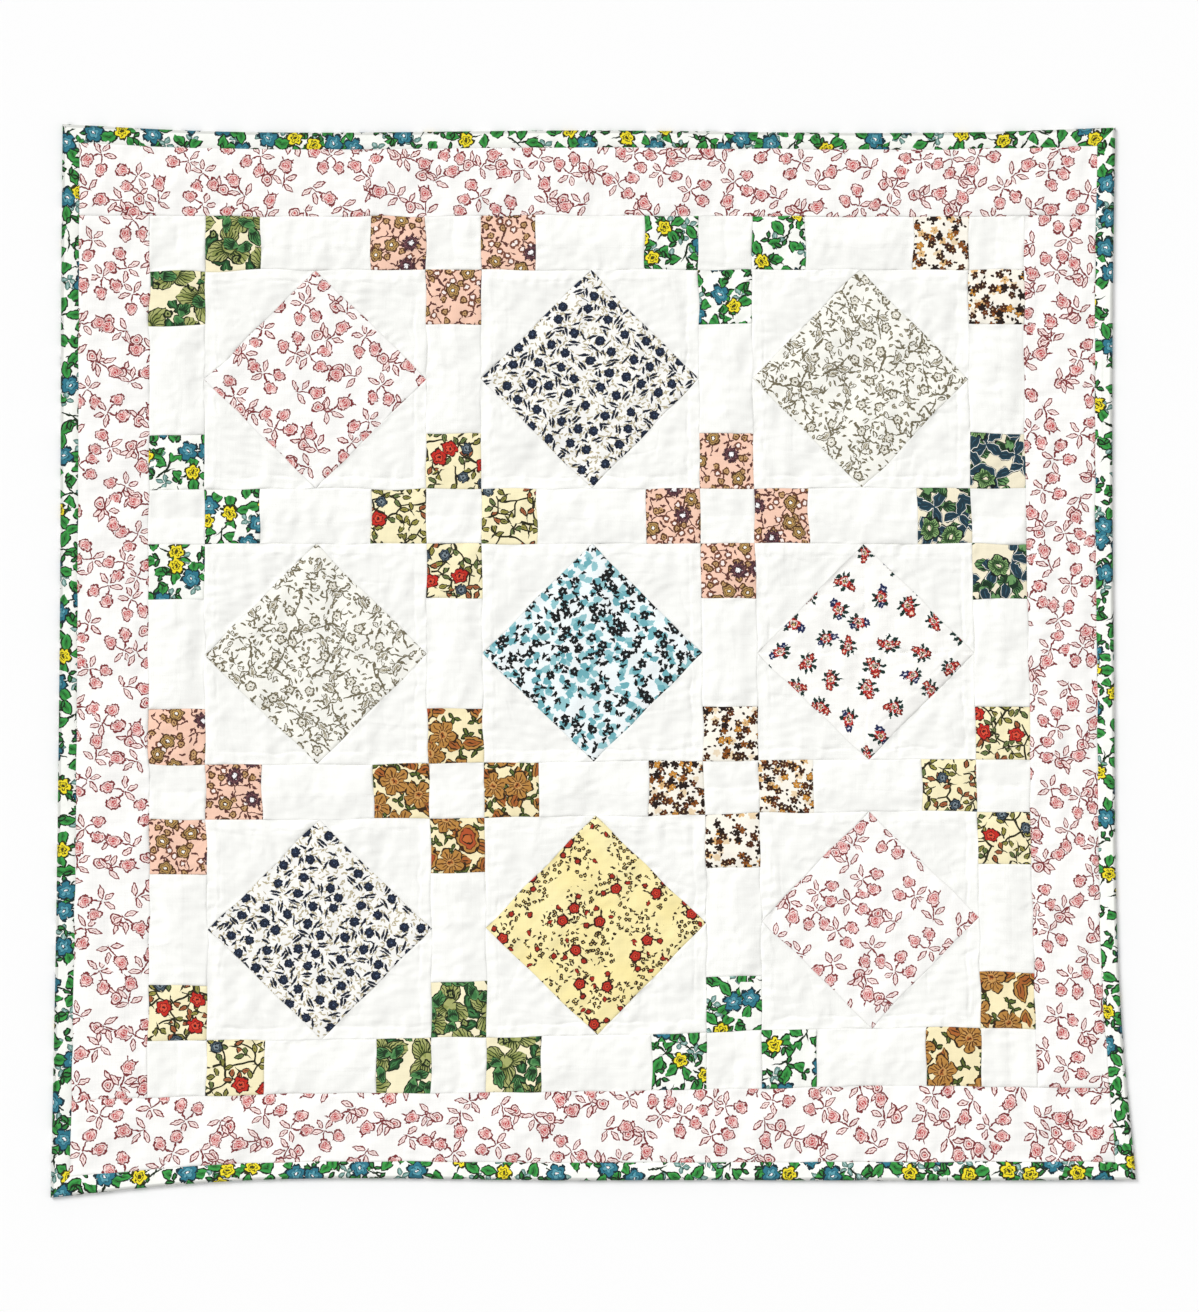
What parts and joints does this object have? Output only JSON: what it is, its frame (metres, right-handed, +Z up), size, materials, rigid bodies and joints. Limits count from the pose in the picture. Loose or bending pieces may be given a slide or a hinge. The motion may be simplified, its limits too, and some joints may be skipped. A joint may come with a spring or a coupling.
{
  "type": "patchwork quilt",
  "caption": "Small patchwork quilt laid flat: diamond blocks in white sashing, a floral border and a folded binding with mitred corners.",
  "frame": {"origin": "middle of the laid-out quilt on the surface that it lies on", "axes": "+Z up out of the quilt's face, +Y to the top edge, +X to the right as one looks down on the face"},
  "size_m": [0.5948, 0.5882, 0.0036],
  "materials": {
    "white_cotton": "matt",
    "rose_print_cotton": "matt",
    "leaf_print_cotton": "matt"
  },
  "bodies": {
    "root": {"patchwork_centre": "white_cotton", "border_top": "rose_print_cotton", "border_bottom": "rose_print_cotton", "border_left": "rose_print_cotton", "border_right": "rose_print_cotton", "binding_top": "leaf_print_cotton", "binding_bottom": "leaf_print_cotton", "binding_left": "leaf_print_cotton", "binding_right": "leaf_print_cotton"}
  },
  "joints": []
}
